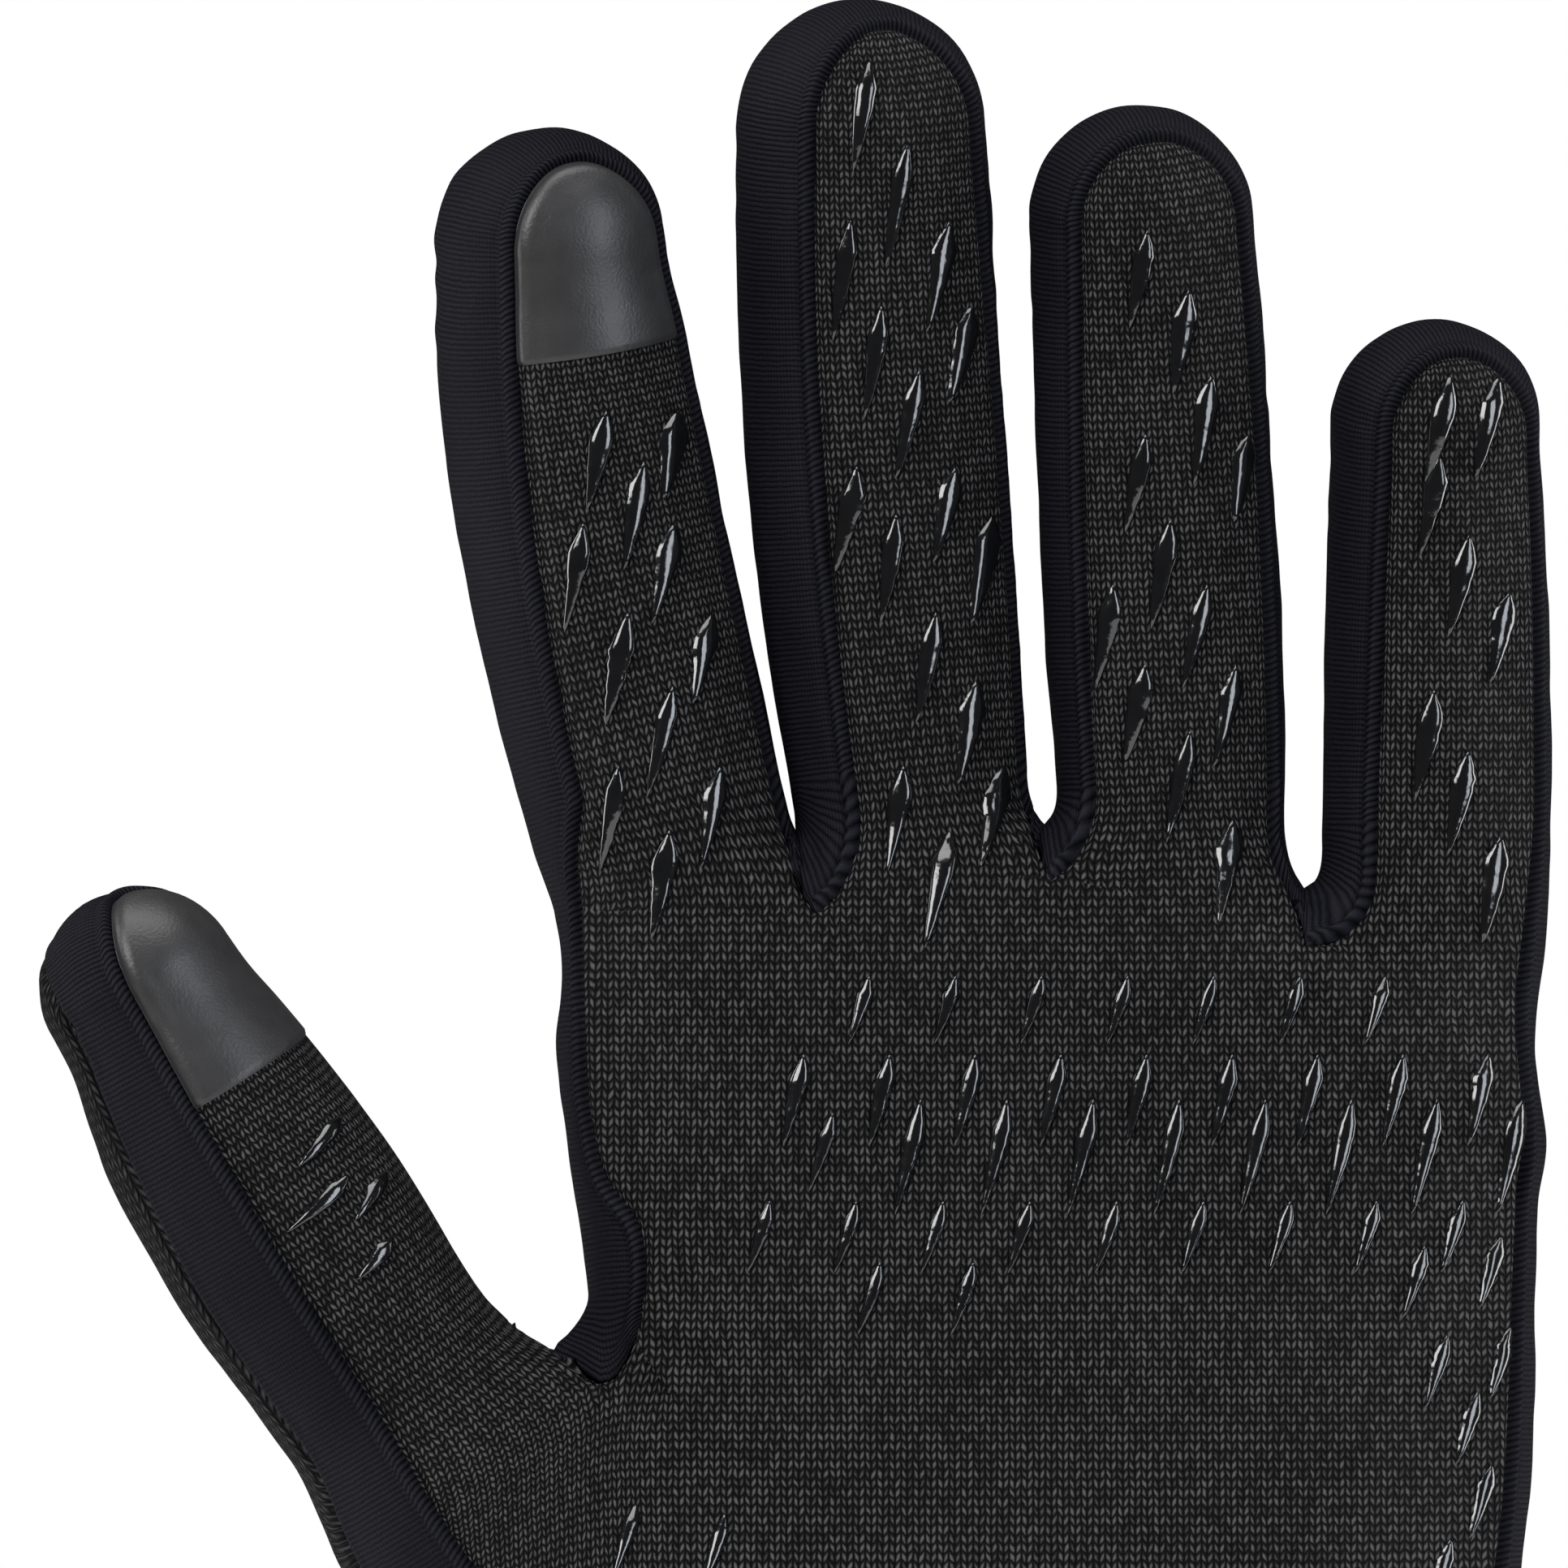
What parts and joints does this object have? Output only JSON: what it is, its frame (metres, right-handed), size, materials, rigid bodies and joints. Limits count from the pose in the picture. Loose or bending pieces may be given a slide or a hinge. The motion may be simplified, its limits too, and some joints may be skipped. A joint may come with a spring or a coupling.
{
  "type": "touchscreen glove",
  "caption": "Left-hand knitted touchscreen glove, palm panel with ribbed stretch gussets, conductive thumb and index fingertips, raised grip blades and a ribbed cuff.",
  "frame": {"origin": "bottom centre of the glove's box, in the plane of the cuff's open edge", "axes": "+Z from the cuff to the fingertips, -Y out of the palm, +X to the little finger's side"},
  "size_m": [0.1424, 0.0518, 0.2478],
  "materials": {
    "palm_knit": "jersey knit",
    "back_knit": "coarse mesh knit",
    "stretch_rib": "fine cross rib",
    "touch_film": "satin",
    "elastic_webbing": "woven",
    "label_satin": "satin",
    "grip_silicone": "gloss"
  },
  "bodies": {
    "hand": {"care_label": "label_satin", "cuff_band": "stretch_rib", "cuff_hem": "stretch_rib", "hand_back": "back_knit", "index_middle_web": "stretch_rib", "little_edge_gusset": "stretch_rib", "middle_ring_web": "stretch_rib", "palm_front": "palm_knit", "ring_little_web": "stretch_rib", "thumb_edge_gusset": "stretch_rib", "thumb_index_web": "stretch_rib", "wrist_elastic": "elastic_webbing"},
    "thumb_base": {"thumb_base_back": "back_knit", "thumb_base_fold": "palm_knit", "thumb_base_front": "palm_knit", "thumb_base_left_gusset": "stretch_rib", "thumb_base_right_gusset": "stretch_rib"},
    "thumb_tip": {"thumb_middle_fold": "palm_knit", "thumb_tip_back": "back_knit", "thumb_tip_front": "palm_knit", "thumb_tip_gusset": "stretch_rib", "thumb_touch_pad": "touch_film"},
    "index_base": {"index_base_back": "back_knit", "index_base_fold": "palm_knit", "index_base_front": "palm_knit", "index_base_left_gusset": "stretch_rib", "index_base_right_gusset": "stretch_rib"},
    "index_tip": {"index_middle_fold": "palm_knit", "index_tip_back": "back_knit", "index_tip_front": "palm_knit", "index_tip_gusset": "stretch_rib", "index_touch_pad": "touch_film"},
    "middle_base": {"middle_base_back": "back_knit", "middle_base_fold": "palm_knit", "middle_base_front": "palm_knit", "middle_base_left_gusset": "stretch_rib", "middle_base_right_gusset": "stretch_rib"},
    "middle_tip": {"middle_middle_fold": "palm_knit", "middle_tip_back": "back_knit", "middle_tip_front": "palm_knit", "middle_tip_gusset": "stretch_rib"},
    "ring_base": {"ring_base_back": "back_knit", "ring_base_fold": "palm_knit", "ring_base_front": "palm_knit", "ring_base_left_gusset": "stretch_rib", "ring_base_right_gusset": "stretch_rib"},
    "ring_tip": {"ring_middle_fold": "palm_knit", "ring_tip_back": "back_knit", "ring_tip_front": "palm_knit", "ring_tip_gusset": "stretch_rib"},
    "little_base": {"little_base_back": "back_knit", "little_base_fold": "palm_knit", "little_base_front": "palm_knit", "little_base_left_gusset": "stretch_rib", "little_base_right_gusset": "stretch_rib"},
    "little_tip": {"little_middle_fold": "palm_knit", "little_tip_back": "back_knit", "little_tip_front": "palm_knit", "little_tip_gusset": "stretch_rib"}
  },
  "joints": [
    {"name": "thumb_base_bend", "type": "hinge", "parent": "hand", "child": "thumb_base", "pos_m": [-0.04448, -0.00716, 0.12599], "axis": [0.509, 0.764, 0.3964], "range_deg": [0, 25], "deforming": ["thumb_base_fold"]},
    {"name": "thumb_middle_bend", "type": "hinge", "parent": "thumb_base", "child": "thumb_tip", "pos_m": [-0.05462, -0.0085, 0.14203], "axis": [0.5204, 0.7643, 0.3809], "range_deg": [0, 50], "deforming": ["thumb_middle_fold"]},
    {"name": "index_base_bend", "type": "hinge", "parent": "hand", "child": "index_base", "pos_m": [-0.01622, 0.00031, 0.18036], "axis": [0.9711, 0, 0.2385], "range_deg": [0, 65], "deforming": ["index_base_fold"]},
    {"name": "index_middle_bend", "type": "hinge", "parent": "index_base", "child": "index_tip", "pos_m": [-0.02158, -0.00108, 0.20613], "axis": [0.9866, 0, 0.1635], "range_deg": [0, 80], "deforming": ["index_middle_fold"]},
    {"name": "middle_base_bend", "type": "hinge", "parent": "hand", "child": "middle_base", "pos_m": [0.00876, 0.00032, 0.18216], "axis": [0.9942, 0, 0.1076], "range_deg": [0, 65], "deforming": ["middle_base_fold"]},
    {"name": "middle_middle_bend", "type": "hinge", "parent": "middle_base", "child": "middle_tip", "pos_m": [0.00616, -0.00096, 0.21242], "axis": [0.9981, 0, 0.0618], "range_deg": [0, 80], "deforming": ["middle_middle_fold"]},
    {"name": "ring_base_bend", "type": "hinge", "parent": "hand", "child": "ring_base", "pos_m": [0.03409, 0.00031, 0.18024], "axis": [0.9986, 0, 0.052], "range_deg": [0, 65], "deforming": ["ring_base_fold"]},
    {"name": "ring_middle_bend", "type": "hinge", "parent": "ring_base", "child": "ring_tip", "pos_m": [0.03267, -0.00106, 0.20621], "axis": [0.9984, 0, 0.0569], "range_deg": [0, 80], "deforming": ["ring_middle_fold"]},
    {"name": "little_base_bend", "type": "hinge", "parent": "hand", "child": "little_base", "pos_m": [0.05939, 0.00027, 0.17679], "axis": [1, 0, -0.0013], "range_deg": [0, 65], "deforming": ["little_base_fold"]},
    {"name": "little_middle_bend", "type": "hinge", "parent": "little_base", "child": "little_tip", "pos_m": [0.05933, -0.0013, 0.1957], "axis": [1, 0, 0.0072], "range_deg": [0, 80], "deforming": ["little_middle_fold"]}
  ]
}
